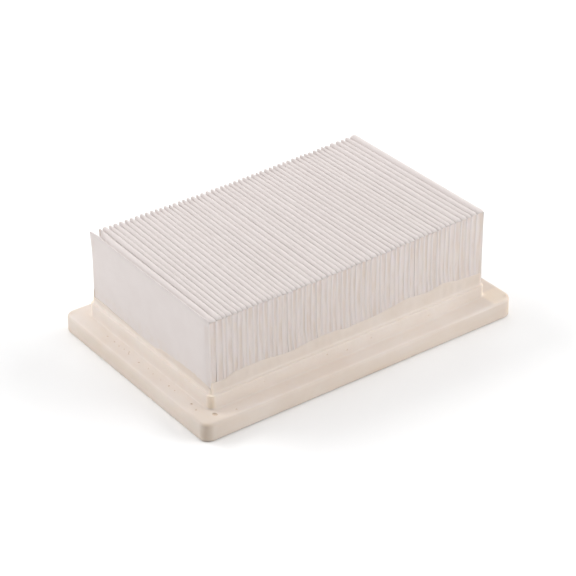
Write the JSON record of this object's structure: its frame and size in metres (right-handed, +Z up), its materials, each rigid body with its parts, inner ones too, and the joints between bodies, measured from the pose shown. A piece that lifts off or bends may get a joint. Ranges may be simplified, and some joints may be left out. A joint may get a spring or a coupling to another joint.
{
  "type": "air filter",
  "caption": "Flat panel air filter: a tall pack of narrow fleece pleats potted in a cream cast-resin frame with a wide clamping flange and a stepped collar.",
  "frame": {"origin": "middle of the frame's seating face on the underside, which is the middle of the base of the whole filter", "axes": "+X along the long side, across the folds; +Y along the folds; +Z up, from the seating face towards the pleat tips"},
  "size_m": [0.21, 0.14, 0.065],
  "materials": {
    "cast_resin": "cream cast polyurethane resin, satin, with a few pits and small bubbles",
    "filter_fleece": "off-white non-woven fleece, matt, faintly fibrous",
    "edge_adhesive": "pale amber adhesive, slightly glossy",
    "hot_melt": "milky hot-melt thread, slightly glossy"
  },
  "bodies": {
    "root": {"moulded_frame": "cast_resin", "pleated_medium": "filter_fleece", "edge_seal_front": "edge_adhesive", "edge_seal_back": "edge_adhesive", "spacer_bead_1": "hot_melt", "spacer_bead_2": "hot_melt", "spacer_bead_3": "hot_melt", "spacer_bead_4": "hot_melt"}
  },
  "joints": []
}
